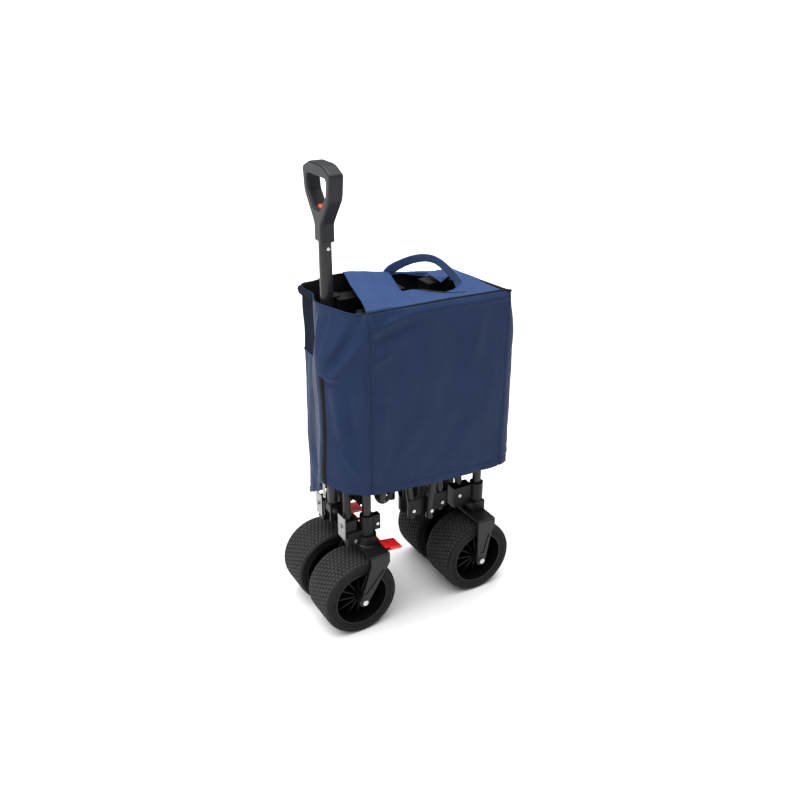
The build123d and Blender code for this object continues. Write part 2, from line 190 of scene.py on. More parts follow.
def addBump(tree, shader, source, strength, distance):
    bump = node(tree, "ShaderNodeBump", Strength=strength, Distance=distance)
    tree.links.new(source, bump.inputs["Height"])
    old = shader.inputs["Normal"]
    if old.is_linked:
        tree.links.new(old.links[0].from_socket, bump.inputs["Normal"])
    tree.links.new(bump.outputs["Normal"], old)
    return bump


def weaveHeight(tree, pitch):
    # plain weave of crossing threads, read from the piece's own UV in metres
    where = node(tree, "ShaderNodeUVMap", uv_map="cloth")
    threads = []
    for direction in ("X", "Y"):
        wave = node(tree, "ShaderNodeTexWave", wave_type="BANDS", bands_direction=direction,
                    wave_profile="SIN", Scale=0.314 / pitch)
        tree.links.new(where.outputs["UV"], wave.inputs["Vector"])
        threads.append(wave)
    both = node(tree, "ShaderNodeMath", operation="MULTIPLY")
    tree.links.new(threads[0].outputs["Fac"], both.inputs[0])
    tree.links.new(threads[1].outputs["Fac"], both.inputs[1])
    return both.outputs[0]


clothLook = {"dark": (0.0075, 0.0165, 0.047), "light": (0.0115, 0.0245, 0.067), "rough": 0.5,
             "weave": 0.0011, "crinkle": 55.0}


def coverCloth(name, shade=1.0):
    # coated navy polyester: fine plain weave, faint crinkles, a soft sheen
    # shade scales both colours; above 1 it paints top light, as on the roof copy
    dark = [c * shade for c in clothLook["dark"]]
    light = [c * shade for c in clothLook["light"]]
    made, tree, shader = material(name, dark, clothLook["rough"])
    shader.inputs["Sheen Weight"].default_value = 0.03
    shader.inputs["Sheen Roughness"].default_value = 0.4
    shader.inputs["Sheen Tint"].default_value = (0.3, 0.45, 1.0, 1)
    shader.inputs["Specular IOR Level"].default_value = 0.1
    drift = objectNoise(tree, 9.0, 4.0)
    varyColor(tree, shader, drift, dark, light)
    varyRoughness(tree, shader, objectNoise(tree, 26.0, 3.0), 0.44, 0.62)
    crinkle = objectNoise(tree, clothLook["crinkle"], 4.0, 0.55)
    addBump(tree, shader, crinkle.outputs[0], 0.16, 0.004)
    addBump(tree, shader, weaveHeight(tree, clothLook["weave"]), 0.25, 0.0003)
    return made


def darkCloth(name, color):
    made, tree, shader = material(name, color, 0.8)
    shader.inputs["Specular IOR Level"].default_value = 0.25
    drift = objectNoise(tree, 14.0, 3.0)
    varyColor(tree, shader, drift, [c * 0.7 for c in color], [c * 1.35 for c in color])
    addBump(tree, shader, objectNoise(tree, 90.0, 3.0).outputs[0], 0.3, 0.002)
    return made


def webbing(name, color):
    # ribbed flat webbing, its ribs along the strap
    made, tree, shader = material(name, color, 0.62)
    shader.inputs["Sheen Weight"].default_value = 0.2
    where = node(tree, "ShaderNodeUVMap", uv_map="cloth")
    ribs = node(tree, "ShaderNodeTexWave", wave_type="BANDS", bands_direction="Y", Scale=160.0)
    cross = node(tree, "ShaderNodeTexWave", wave_type="BANDS", bands_direction="DIAGONAL", Scale=300.0)
    for item in (ribs, cross):
        tree.links.new(where.outputs["UV"], item.inputs["Vector"])
    varyColor(tree, shader, cross, [c * 0.75 for c in color], [c * 1.2 for c in color])
    addBump(tree, shader, ribs.outputs["Fac"], 0.4, 0.0006)
    addBump(tree, shader, cross.outputs["Fac"], 0.3, 0.0004)
    return made


def meshCloth(name):
    # black open mesh over a dark backing, its holes drawn by a cell pattern
    made, tree, shader = material(name, (0.004, 0.005, 0.008), 0.85)
    shader.inputs["Specular IOR Level"].default_value = 0.06
    where = node(tree, "ShaderNodeUVMap", uv_map="cloth")
    cells = node(tree, "ShaderNodeTexVoronoi", Scale=420.0, Randomness=0.12)
    tree.links.new(where.outputs["UV"], cells.inputs["Vector"])
    varyColor(tree, shader, cells, (0.0022, 0.0036, 0.0085), (0.0075, 0.0125, 0.029))
    addBump(tree, shader, cells.outputs["Distance"], 0.8, 0.0008)
    return made


def moulded(name, color, rough, grain=900.0, depth=0.35, spec=0.2):
    # moulded plastic with a fine spark-eroded grain and faint handling marks
    made, tree, shader = material(name, color, rough)
    shader.inputs["Specular IOR Level"].default_value = spec
    wear = objectNoise(tree, 24.0, 5.0, 0.6)
    varyColor(tree, shader, wear, [c * 0.82 for c in color], [c * 1.22 for c in color])
    varyRoughness(tree, shader, objectNoise(tree, 60.0, 4.0), rough - 0.08, rough + 0.1)
    addBump(tree, shader, objectNoise(tree, grain, 2.0).outputs[0], depth, 0.0004)
    return made


def powderCoat(name, color, rough):
    # powder coat: slight orange peel and tiny sparkle of texture
    made, tree, shader = material(name, color, rough)
    shader.inputs["Coat Weight"].default_value = 0.04
    shader.inputs["Specular IOR Level"].default_value = 0.26
    shader.inputs["Coat Roughness"].default_value = 0.3
    varyColor(tree, shader, objectNoise(tree, 30.0, 4.0), [c * 0.85 for c in color], [c * 1.2 for c in color])
    varyRoughness(tree, shader, objectNoise(tree, 80.0, 3.0), rough - 0.06, rough + 0.08)
    addBump(tree, shader, objectNoise(tree, 700.0, 2.0).outputs[0], 0.3, 0.0003)
    return made


def metal(name, color, rough, brushed=False):
    made, tree, shader = material(name, color, rough, 1.0)
    grain = objectNoise(tree, 45.0, 5.0, 0.65)
    if brushed:
        where = node(tree, "ShaderNodeTexCoord")
        stretch = node(tree, "ShaderNodeMapping")
        stretch.inputs["Scale"].default_value = (40, 40, 900)
        tree.links.new(where.outputs["Object"], stretch.inputs["Vector"])
        tree.links.new(stretch.outputs["Vector"], grain.inputs["Vector"])
        grain.inputs["Scale"].default_value = 1.0
    varyColor(tree, shader, grain, [c * 0.72 for c in color], [min(1, c * 1.1) for c in color])
    varyRoughness(tree, shader, objectNoise(tree, 130.0, 4.0), rough - 0.08, rough + 0.16)
    addBump(tree, shader, grain.outputs[0], 0.12, 0.0003)
    return made


def tyreRubber(name, shade):
    made, tree, shader = material(name, (shade, shade, shade), 0.7)
    shader.inputs["Specular IOR Level"].default_value = 0.18
    dust = objectNoise(tree, 32.0, 5.0, 0.6)
    varyColor(tree, shader, dust, [shade * c for c in (0.6, 0.61, 0.63)],
              [shade * c for c in (1.5, 1.52, 1.56)])
    varyRoughness(tree, shader, objectNoise(tree, 70.0, 3.0), 0.58, 0.82)
    addBump(tree, shader, objectNoise(tree, 420.0, 3.0).outputs[0], 0.3, 0.0004)
    return made


print("making materials")
look = {
    "cover": coverCloth("navyCloth"),
    # the roof cloth is the cover's navy painted 2.35 times lighter: painted top light on the flap, the roof
    # back, their edges and the folded corner
    "flap": coverCloth("navyRoofClothPaintedLight", 2.35),
    "binding": darkCloth("bindingTape", (0.006, 0.006, 0.014)),
    "lining": darkCloth("blackLining", (0.003, 0.003, 0.004)),
    "bed": darkCloth("foldedBedCloth", (0.006, 0.007, 0.010)),
    "thread": darkCloth("navyThread", (0.02, 0.035, 0.09)),
    "strap": webbing("blueWebbing", (0.048, 0.105, 0.27)),
    "strapUnder": webbing("blackWebbing", (0.006, 0.007, 0.012)),
    "mesh": meshCloth("pocketMesh"),
    "tyre": tyreRubber("tyreRubber", 0.0065),
    "tread": tyreRubber("treadRubber", 0.0215),
    "rim": moulded("rimPlastic", (0.0036, 0.0036, 0.004), 0.36),
    "casting": moulded("castingNylon", (0.0042, 0.0045, 0.0052), 0.4),
    "bush": moulded("bushNylon", (0.55, 0.55, 0.52), 0.5),
    "fork": powderCoat("forkCoat", (0.0068, 0.0071, 0.0082), 0.34),
    "tube": powderCoat("tubeCoat", (0.0125, 0.013, 0.0145), 0.32),
    "pole": powderCoat("poleCoat", (0.0125, 0.013, 0.0145), 0.28),
    "bolt": metal("zincBolt", (0.6, 0.6, 0.58), 0.3),
    "plate": metal("zincPlate", (0.34, 0.34, 0.345), 0.4, brushed=True),
    "nickel": metal("nickelPull", (0.36, 0.35, 0.34), 0.34),
    "brake": moulded("redMoulding", (0.72, 0.014, 0.02), 0.28, depth=0.12, spec=0.5),
    "grip": moulded("gripPlastic", (0.0125, 0.0135, 0.0155), 0.4, grain=1100.0, depth=0.5),
    "button": moulded("orangeMoulding", (0.75, 0.085, 0.018), 0.34, depth=0.12, spec=0.5),
    "screw": powderCoat("blackScrew", (0.0012, 0.0012, 0.0013), 0.6),
    "spring": metal("springWire", (0.6, 0.6, 0.6), 0.3),
    "zip": moulded("zipCoil", (0.008, 0.008, 0.010), 0.45),
}

nodeLooks = {"rim_": "rim", "wheel_bushes": "bush", "fork_": "fork", "knuckle_": "casting",
             "corner_post": "tube",
             "axle_bolt": "bolt", "caster_stem": "bolt", "brake_pedal": "brake", "brake_pin": "bolt",
             "side_bars": "tube", "upper_brackets": "casting", "mid_brackets": "casting", "end_bars": "tube",
             "rivets": "bolt", "front_plates": "plate", "floor_linkage": "casting", "handle_bracket": "fork",
             "handle_pivot_bolt": "bolt", "handle_foot": "casting", "pole_": "pole", "snap_button": "bolt",
             "grip_screws": "screw", "grip_": "grip", "release_button": "button", "button_spring": "spring",
             "zip_slider": "nickel", "zip_pull": "nickel", "tyre_": "tyre", "cover_": "cover",
             "zip_tape": "zip", "carry_strap": "strap", "bed_fabric": "bed"}
for name, obj in nodes.items():
    for start, key in nodeLooks.items():
        if name.startswith(start):
            for slotItem in obj.material_slots:
                slotItem.material = look[key]
            break


# camera, floor and light

cameraSet = {"place": (-0.9873, -1.6903, 1.4631), "turn": 30.5, "down": 25.45, "roll": 0.19, "lens": 40.97}
cameraData = bpy.data.cameras.new("camera")
cameraData.lens = cameraSet["lens"]
cameraData.sensor_width = 36
cameraData.clip_end = 60
camera = bpy.data.objects.new("camera", cameraData)
scene.collection.objects.link(camera)
camera.matrix_world = (Matrix.Translation(cameraSet["place"])
                       @ Matrix.Rotation(-math.radians(cameraSet["turn"]), 4, "Z")
                       @ Matrix.Rotation(math.radians(90 - cameraSet["down"]), 4, "X")
                       @ Matrix.Rotation(math.radians(cameraSet["roll"]), 4, "Z"))
scene.camera = camera

bm = bmesh.new()
bmesh.ops.create_grid(bm, x_segments=2, y_segments=2, size=70)
floorMesh = bpy.data.meshes.new("floor")
bm.to_mesh(floorMesh)
bm.free()
floor = bpy.data.objects.new("floor", floorMesh)
scene.collection.objects.link(floor)
floorMesh.materials.append(material("paleFloor", (0.74, 0.74, 0.74), 0.8)[0])

world = bpy.data.worlds.new("studio")
scene.world = world
world.use_nodes = True
world.node_tree.nodes["Background"].inputs["Color"].default_value = (1, 1, 1, 1)
world.node_tree.nodes["Background"].inputs["Strength"].default_value = 0.34


def softLight(name, kind, place, aim, power, size):
    light = bpy.data.lights.new(name, kind)
    light.energy = power
    if kind == "SUN":
        light.angle = math.radians(size)
    else:
        light.shape = "SQUARE"
        light.size = size
    lamp = bpy.data.objects.new(name, light)
    scene.collection.objects.link(lamp)
    lamp.location = place
    lamp.rotation_euler = (Vector(aim) - Vector(place)).to_track_quat("-Z", "Y").to_euler()


# kind, place, aim, strength, then the sun's angle or the box's size
lightSet = {"topLight": ("SUN", (-0.5, 0.25, 3.4), (0, 0, 0.4), 6.4, 85),
            "leftBox": ("AREA", (-2.4, -0.2, 1.5), (0, 0, 0.5), 11, 1.2),
            "frontBox": ("AREA", (0.6, -3.0, 1.7), (0, 0, 0.5), 4, 1.6)}
for name, settings in lightSet.items():
    softLight(name, *settings)
scene.view_settings.view_transform = "Standard"
print("camera, floor and lights are in")


# the cloth cover's wall: plan, rim and hem points in mm, matched one to one,
# from the near seam round the front
coverSet = {
    "base": [(-143, -132), (-172, -121), (-197, -101), (-215, -73), (-225, -40), (-208, 4), (-190, 34),
             (-182, 66), (-183, 101), (-174, 128), (-136, 133), (-66, 132), (50, 132), (150, 132),
             (228, 132), (246, 124), (252, 94), (252, 0), (251, -90), (243, -119), (206, -132),
             (100, -132), (0, -132), (-75, -132)],
    "hem": [380, 386, 390, 397, 392, 366, 326, 300, 281, 264, 258, 256, 256, 256, 258, 268, 285, 315,
            336, 356, 357, 359, 366, 372],
    "rim": [(-143, -132, 811), (-165, -113, 812), (-179, -90, 813), (-191, -60, 814), (-201, -28, 814),
            (-204, 2, 813), (-195, 30, 813), (-182, 62, 812), (-184, 100, 811), (-174, 130, 811),
            (-120, 132, 817), (-67, 131, 819), (47, 130, 803), (150, 130, 790), (226, 128, 779),
            (243, 118, 777), (246, 90, 779), (240, 0, 786), (234, -92, 795), (229, -118, 801),
            (206, -132, 805), (100, -132, 808), (0, -132, 810), (-75, -132, 811)],
    "columns": 340, "rows": 118, "thick": 1.3, "rimFrom": 690,
}
baseLine = [Vector((x, y, h)) for (x, y), h in zip(coverSet["base"], coverSet["hem"])]
rimLine = [Vector(p) for p in coverSet["rim"]]
around = len(baseLine)


def curveAt(points, t):
    # a smooth closed curve through the points, t counted in points
    n = len(points)
    i = math.floor(t)
    f = t - i
    a, b, c, d = (points[(i + k) % n] for k in (-1, 0, 1, 2))
    return splineAt(a, b, c, d, f)


arcTable = [0.0]
for k in range(1, 40 * around + 1):
    arcTable.append(arcTable[-1] + (curveAt(baseLine, k / 40).xy - curveAt(baseLine, (k - 1) / 40).xy).length)
girth = arcTable[-1]


def turnAt(s):
    # how far along the point list a distance round the wall in mm lies
    s = s % girth
    low, high = 0, len(arcTable) - 1
    while high - low > 1:
        middle = (low + high) // 2
        if arcTable[middle] <= s:
            low = middle
        else:
            high = middle
    return (low + (s - arcTable[low]) / max(arcTable[high] - arcTable[low], 1e-9)) / 40


def arcAt(t):
    k = (t % around) * 40
    low = int(k)
    return mix(arcTable[low], arcTable[low + 1], k - low)


def ridge(s, z, start, end, width, height):
    # a soft fold along a line from start to end in (s, z), fading at both ends
    ds, dz = end[0] - start[0], end[1] - start[1]
    long = math.hypot(ds, dz)
    along = ((s - start[0]) * ds + (z - start[1]) * dz) / long
    off = ((s - start[0]) * dz - (z - start[1]) * ds) / long
    if along < -2 * width or along > long + 2 * width or abs(off) > 3.5 * width:
        return 0.0
    fade = smooth(-2 * width, long * 0.3, along) * (1 - smooth(long * 0.7, long + 2 * width, along))
    return height * fade * math.exp(-(off / width) ** 2)


wallFolds = [
    # near the zip and seam, upper part
    ((34, 778), (96, 680), 10, -7.0), ((14, 752), (88, 664), 9, 6.5), ((58, 785), (98, 705), 9, 4.5),
    ((104, 668), (60, 672), 5, 5.0), ((100, 652), (70, 655), 5, -3.0), ((84, 640), (66, 520), 12, 4.0),
    ((50, 655), (34, 500), 13, -6.0), ((62, 490), (26, 430), 9, 4.0), ((112, 790), (128, 700), 10, -2.5),
    ((150, 795), (140, 690), 12, 3.0), ((18, 700), (14, 600), 8, 2.5),
    # the seam and the near face beside it
    ((-6, 770), (-74, 792), 7, 4.5), ((-10, 752), (-120, 776), 10, -4.5), ((-12, 700), (-46, 712), 7, 4.0),
    ((-14, 607), (-24, 600), 13, -3.5), ((-40, 640), (-22, 520), 14, 2.4), ((8, 640), (6, 470), 7, 2.2),
    ((-120, 760), (-190, 640), 20, 2.6), ((-230, 720), (-200, 560), 22, -2.2),
    ((-290, 770), (-262, 650), 16, 2.4), ((-150, 560), (-80, 470), 22, 2.2),
    ((-250, 520), (-180, 430), 20, -1.8), ((-60, 480), (-30, 410), 12, -2.2),
    ((-330, 640), (-300, 480), 16, 2.0),
    # the front and its far end
    ((190, 780), (215, 560), 16, -2.6), ((240, 760), (225, 520), 15, 2.8), ((275, 740), (300, 470), 14, -2.6),
    ((170, 620), (185, 440), 14, 2.2), ((305, 790), (330, 640), 10, 2.6),
    # the far side and the rear
    ((420, 760), (470, 560), 22, 3.0), ((520, 700), (480, 480), 24, -2.6), ((600, 740), (640, 520), 20, 2.6),
    ((690, 720), (720, 480), 20, -2.4), ((800, 740), (830, 500), 20, 2.6), ((900, 700), (880, 460), 18, -2.2),
]


def wallRelief(s, z, hem):
    # how far the cloth stands out from the plain loft, in mm
    near = s - girth if s > girth - 420 else s
    relief = sum(ridge(near if start[0] < 60 else s, z, start, end, width, height)
                 for start, end, width, height in wallFolds)
    turn = 2 * math.pi * s / girth
    ring = Vector((math.cos(turn), math.sin(turn), 0)) * girth / (2 * math.pi)
    broad = noise.noise(Vector((ring.x / 85, ring.y / 85, z / 150 + 3.1)))
    medium = noise.noise(Vector((ring.x / 34, ring.y / 34, z / 62 - 7.7)))
    small = noise.noise(Vector((ring.x / 13, ring.y / 13, z / 17 + 11.0)))
    relief += 4.2 * broad + 1.5 * medium + 0.35 * small
    # puckers hanging from the bound rim and standing on the hem
    relief += 1.3 * math.sin(s / 7.5 + 2.4 * medium) * smooth(760, 800, z) * noise.noise(Vector((s / 60, 5, 2)))
    relief += 1.6 * math.sin(s / 9.0 + 3 * broad) * (1 - smooth(hem + 20, hem + 75, z)) * (0.4 + small)
    # seams and pressed creases: place round the wall in list points, and depth
    for turnPlace, depth in ((0, 3.4), (6.4, 4.5), (9.6, 1.6), (15.2, 1.6), (19.9, 2.6)):
        place = arcAt(turnPlace)
        gap = min(abs(s - place), girth - abs(s - place))
        deep = depth * (1.25 - 0.5 * smooth(hem, hem + 300, z))
        relief -= deep * math.exp(-(gap / 2.6) ** 2) - 0.7 * math.exp(-((gap - 8) / 5) ** 2)
    # hem turned up and stitched
    relief += 0.9 * (1 - smooth(hem + 17, hem + 20, z)) - 0.8 * math.exp(-((z - hem - 19) / 2.0) ** 2)
    return relief


def outwards(t):
    way = curveAt(baseLine, t + 0.04).xy - curveAt(baseLine, t - 0.04).xy
    side = Vector((way.y, -way.x, 0)).normalized()
    return side if side.dot(Vector((*curveAt(baseLine, t).xy, 0))) > 0 else -side


def wallPoint(t, z, out=0.0, plain=False):
    # a point on the wall at height z in mm, returned in metres
    foot, top = curveAt(baseLine, t), curveAt(rimLine, t)
    high = smooth(coverSet["rimFrom"], top.z, z)
    point = Vector((mix(foot.x, top.x, high), mix(foot.y, top.y, high), z))
    front = math.exp(-((t % around - 3.4) / 1.3) ** 2)
    side = math.exp(-((t % around - 5.4) / 0.8) ** 2)
    swell = front * (3.5 * math.exp(-((z - 676) / 34) ** 2) + 4 * math.exp(-((z - 416) / 50) ** 2))
    swell += side * 8 * math.exp(-((z - 655) / 60) ** 2)
    tuck = t % around
    # the near face rolls inwards under the roof
    near = smooth(19.3, 20.0, tuck) if tuck > 12 else 1 - smooth(0.2, 1.2, tuck)
    ledge = 12 + 13 * (smooth(22.2, 23.8, tuck) if tuck > 12 else 1)
    roll = near * 12 * clamp((z - top.z + ledge) / ledge) ** 1.15
    relief = swell + (0 if plain else wallRelief(arcAt(t), z, foot.z))
    relief += near * 2.2 * math.exp(-((z - top.z + ledge + 2) / 4.5) ** 2)
    if z > top.z - 12:
        relief *= mix(1, 0.35, smooth(top.z - 12, top.z, z))
    return (point + outwards(t) * (relief + out - roll)) * mm


def clothUv(bm, place):
    # keeps each grid corner's flat position in metres as the piece's cloth coordinates
    layer = bm.loops.layers.uv.new("cloth")
    for face in bm.faces:
        for loop in face.loops:
            loop[layer].uv = place(loop.vert.co.x + 0.5, loop.vert.co.y + 0.5)


def clothGrid(columns, rows, place, size, wrap=False, flip=False):
    bm = bmesh.new()
    bmesh.ops.create_grid(bm, x_segments=columns, y_segments=rows, size=0.5)
    clothUv(bm, lambda u, v: (u * size[0], v * size[1]))
    for vert in bm.verts:
        vert.co = place(clamp(vert.co.x + 0.5), clamp(vert.co.y + 0.5))
    if wrap:
        bmesh.ops.remove_doubles(bm, verts=bm.verts, dist=1e-6)
    if flip:
        bmesh.ops.reverse_faces(bm, faces=bm.faces)
    return bm


def thicken(piece, thickness, inner=0):
    shell = piece.modifiers.new("thickness", "SOLIDIFY")
    shell.thickness = thickness * mm
    shell.offset = -1
    shell.material_offset = inner
    shell.use_even_offset = False
    return piece


print("cloth wall")


def wallGrid(u, v):
    t = turnAt(u * girth * 0.9999999) if u < 1 else 0.0
    foot, top = curveAt(baseLine, t), curveAt(rimLine, t)
    return wallPoint(t, mix(foot.z, top.z, v))


bm = clothGrid(coverSet["columns"], coverSet["rows"], wallGrid, (girth * mm, 0.48), wrap=True)
wallArea = sum(f.calc_area() for f in bm.faces)
print("wall area", round(wallArea, 4), "girth", round(girth * mm, 4))
bm.normal_update()
if sum(f.normal.xy.dot(f.calc_center_median().xy) for f in bm.faces) < 0:
    bmesh.ops.reverse_faces(bm, faces=bm.faces)
pocketSet = {"from": 6.45, "to": 9.9, "low": 658, "high": 794}
layer = bm.loops.layers.uv["cloth"]
for face in bm.faces:
    turn = turnAt(face.loops[0][layer].uv.x / mm)
    z = face.calc_center_median().z / mm
    if pocketSet["from"] < turn < pocketSet["to"] and pocketSet["low"] < z < pocketSet["high"]:
        face.material_index = 2
wall = newPiece("coverWall", bm, [look["cover"], look["lining"], look["mesh"], look["lining"]],
                "cover", ["cover_shell"])
thicken(wall, coverSet["thick"], 1)

# hem and seam stitching, a thread row beside each seam
bm = bmesh.new()
hemPoints = [wallPoint(turnAt(s), curveAt(baseLine, turnAt(s)).z + 18, 0.1) for s in
             [girth * k / 700 for k in range(701)]]
stitchRow(bm, hemPoints, 0.0042, 0.0030, 0.0003)
for seamAt in (0, arcAt(9.6), arcAt(15.2), arcAt(19.9)):
    for aside in (-6, 6):
        t = turnAt(seamAt + aside)
        low, high = curveAt(baseLine, t).z + 4, curveAt(rimLine, t).z - 4
        stitchRow(bm, [wallPoint(t, mix(low, high, k / 120), 0.1) for k in range(121)], 0.0042, 0.003, 0.0003)
newPiece("coverStitches", bm, look["thread"], "cover")

# bound rim: dark tape in front, a ruffled elastic over the mesh pocket, black piping behind
print("rim binding")


def rimRun(start, end, count, rise=0.0, out=-0.6):
    return [wallPoint(t, curveAt(rimLine, t).z + rise, out) for t in
            [mix(start, end, k / (count - 1)) for k in range(count)]]


lineTube("frontBinding", rimRun(0.35, 6.6, 160), 1.7 * mm, look["cover"], "cover")
lineTube("rimPiping", rimRun(9.8, 15.0, 160), 1.9 * mm, look["lining"], "cover")
lineTube("rearPiping", rimRun(15.0, 19.8, 160), 3.0 * mm, look["lining"], "cover")
# a black tube in the gap under the roof's near edge: painted shade in that gap
lineTube("nearGapShadeTube", rimRun(19.7, 24.35, 160, 0.2, -2.2), 2.6 * mm, look["lining"], "cover")
# a dark line laid along the corner seam: painted shade in the seam's groove
lineTube("nearSeamShadeLine", [wallPoint(0.0, mix(384, 786, k / 120), -0.7) for k in range(121)], 0.9 * mm,
         look["binding"], "cover")
lineTube("pocketHem", [wallPoint(mix(6.5, 9.9, k / 90), pocketSet["low"], 0.9) for k in range(91)],
         1.3 * mm, look["cover"], "cover")

elasticSet = {"from": 6.5, "to": 10.4, "radius": 6.2, "ribs": 46, "wide": 0.75, "tall": 1.35}


def elasticPoint(u, v):
    t = mix(elasticSet["from"], elasticSet["to"], u)
    middle = wallPoint(t, curveAt(rimLine, t).z - 9, 3, True)
    turn = 2 * math.pi * v
    rib = 1 + 0.16 * math.sin(2 * math.pi * elasticSet["ribs"] * u + 1.2 * math.sin(9 * u))
    size = elasticSet["radius"] * rib * (0.75 + 0.5 * abs(noise.noise(Vector((u * 8, v * 2, 4)))))
    size *= smooth(0, 0.03, u) * (1 - smooth(0.97, 1, u))
    across = outwards(t) * math.cos(turn) * size * elasticSet["wide"] * mm
    return middle + across + Vector((0, 0, math.sin(turn) * size * elasticSet["tall"])) * mm


bm = clothGrid(460, 20, elasticPoint, (0.25, 0.05))
bmesh.ops.remove_doubles(bm, verts=bm.verts, dist=2e-6)
bmesh.ops.recalc_face_normals(bm, faces=bm.faces)
newPiece("pocketElastic", bm, look["binding"], "cover")


# the roof: height of the top cloth above a plan position, in mm
roofSet = {"near": [(-200, 816), (-144, 816), (-27, 814), (124, 807), (218, 797), (260, 792)],
           "far": [(-200, 814), (-120, 818), (-67, 820), (47, 805), (150, 792), (226, 781), (260, 778)]}


def heightOn(line, x):
    for (x0, z0), (x1, z1) in zip(line, line[1:]):
        if x <= x1:
            return mix(z0, z1, smooth(x0, x1, x))
    return line[-1][1]


def roofZ(x, y):
    across = clamp((y + 126) / 254)
    z = mix(heightOn(roofSet["near"], x), heightOn(roofSet["far"], x), across)
    z -= 5 * math.sin(math.pi * across) ** 0.8
    inside = smooth(124, 92, abs(y)) * smooth(238, 206, x)
    z += max(0, 801 - z) * inside
    z += 2.4 * noise.noise(Vector((x / 58, y / 74, 1.7))) + 1.3 * noise.noise(Vector((x / 21, y / 27, 9.2)))
    return z


print("roof flap")
flapSet = {"left": [(-143, -117), (-114, -40), (-90, 50), (-68, 130)],
           "right": [(-22, -118), (-8, -60), (9, 6), (30, 68), (50, 129)]}


def lineAt(points, t):
    # a smooth open line through 2-D points, t from 0 to 1
    vectors = [Vector((*p, 0)) for p in points]
    place = clamp(t) * (len(vectors) - 1)
    i = min(int(place), len(vectors) - 2)
    f = place - i
    a, b, c, d = (vectors[clamp(i + k, 0, len(vectors) - 1)] for k in (-1, 0, 1, 2))
    return splineAt(a, b, c, d, f)


def flapPoint(u, v):
    lip = 0.05
    inner = clamp((v - lip) / (1 - 2 * lip))
    left, right = lineAt(flapSet["left"], inner), lineAt(flapSet["right"], inner)
    point = left.lerp(right, u)
    joined = 1 - smooth(0.42, 0.56, v)
    z = roofZ(point.x, point.y) + mix(2.0 + 1.6 * math.sin(math.pi * u), 0.7, joined * u)
    crest = math.exp(-((u - 0.34 - 0.1 * v) / 0.14) ** 2)
    dip = math.exp(-((u - 0.62 + 0.08 * v) / 0.15) ** 2)
    z += (1 - u) * (1.6 * crest - 1.6 * dip)
    if v < lip:
        over = 1 - v / lip
        point.y -= 2.5 * math.sin(over * 1.5)
        z -= 11 * over * over
    if v > 1 - lip:
        over = (v - 1 + lip) / lip
        point.y += 4 * math.sin(over * 1.5)
        z -= 12 * over * over
    return Vector((point.x, point.y, z)) * mm


bm = clothGrid(70, 130, flapPoint, (0.12, 0.27))
flapArea = sum(f.calc_area() for f in bm.faces)
flap = newPiece("roofFlap", bm, [look["flap"], look["lining"]], "cover", ["cover_flap"])
thicken(flap, 1.3, 1)
lineTube("flapEdge", [flapPoint(0, k / 90) for k in range(91)], 1.1 * mm, look["flap"], "cover")
lineTube("flapBackEdge", [flapPoint(1, mix(0.5, 1, k / 60)) for k in range(61)], 1.1 * mm, look["flap"],
         "cover")

print("roof back")
backSet = {
    "outer": [(-36, -118), (40, -118), (120, -118), (196, -118), (220, -108), (230, -84), (236, -20),
              (240, 40), (241, 92), (236, 118), (218, 125), (140, 127), (64, 128)],
    "inner": [(-6, -6), (14, 6), (32, 6), (45, -31), (68, -54), (118, -36), (160, -8), (168, 20),
              (174, 50), (164, 88), (146, 114), (96, 120), (50, 120)],
}


def backPoint(u, v):
    outer, inner = lineAt(backSet["outer"], u), lineAt(backSet["inner"], u)
    lip = 0.06
    across = clamp((v - lip) / (1 - lip))
    point = outer.lerp(inner, across)
    z = roofZ(point.x, point.y)
    z -= 10 * smooth(0.86, 1.0, across) * (0.6 + 0.6 * noise.noise(Vector((u * 9, 3, 3))))
    z += 1.1 * math.sin(u * 38 + 2 * noise.noise(Vector((u * 7, 0, 0)))) * smooth(0.45, 1.0, across)
    if v < lip:
        over = 1 - v / lip
        away = Vector((point.x - 60, point.y, 0)).normalized()
        point += away * 2.2 * math.sin(over * 1.5)
        z -= 9 * over * over
    return Vector((point.x, point.y, z)) * mm


bm = clothGrid(190, 60, backPoint, (0.62, 0.11))
backArea = sum(f.calc_area() for f in bm.faces)
roofBack = newPiece("roofBack", bm, [look["flap"], look["lining"]], "cover")
thicken(roofBack, 1.3, 1)

# a corner of the roof cloth folded back into the opening
foldCorner = {"far": (138, 100, 800), "rear": (188, 62, 799), "tip": (120, 4, 803)}


def cornerPoint(u, v):
    far, rear, tip = (Vector(foldCorner[key]) for key in ("far", "rear", "tip"))
    point = far.lerp(rear, u).lerp(tip, v * 0.985)
    point.z += 2.2 * math.sin(math.pi * v) * math.sin(math.pi * u) + 0.8 * noise.noise(point / 17)
    return point * mm


bm = clothGrid(34, 44, cornerPoint, (0.064, 0.082))
cornerArea = sum(f.calc_area() for f in bm.faces)
cornerFold = newPiece("roofCorner", bm, [look["flap"], look["lining"]], "cover")
thicken(cornerFold, 1.3, 1)
for piece in (flap, roofBack, cornerFold):
    if sum(p.normal.z for p in piece.data.polygons) < 0:
        piece.data.flip_normals()

print("carry strap")
strapSet = {"line": [(46, 133, 794), (54, 125, 811), (69, 105, 828), (90, 83, 842), (110, 60, 849),
                     (128, 40, 845), (144, 20, 829), (159, 0, 807), (165, -9, 791)],
            "twist": [62, 60, 58, 58, 60, 62, 66, 72, 80], "width": 25, "thick": 1.8}


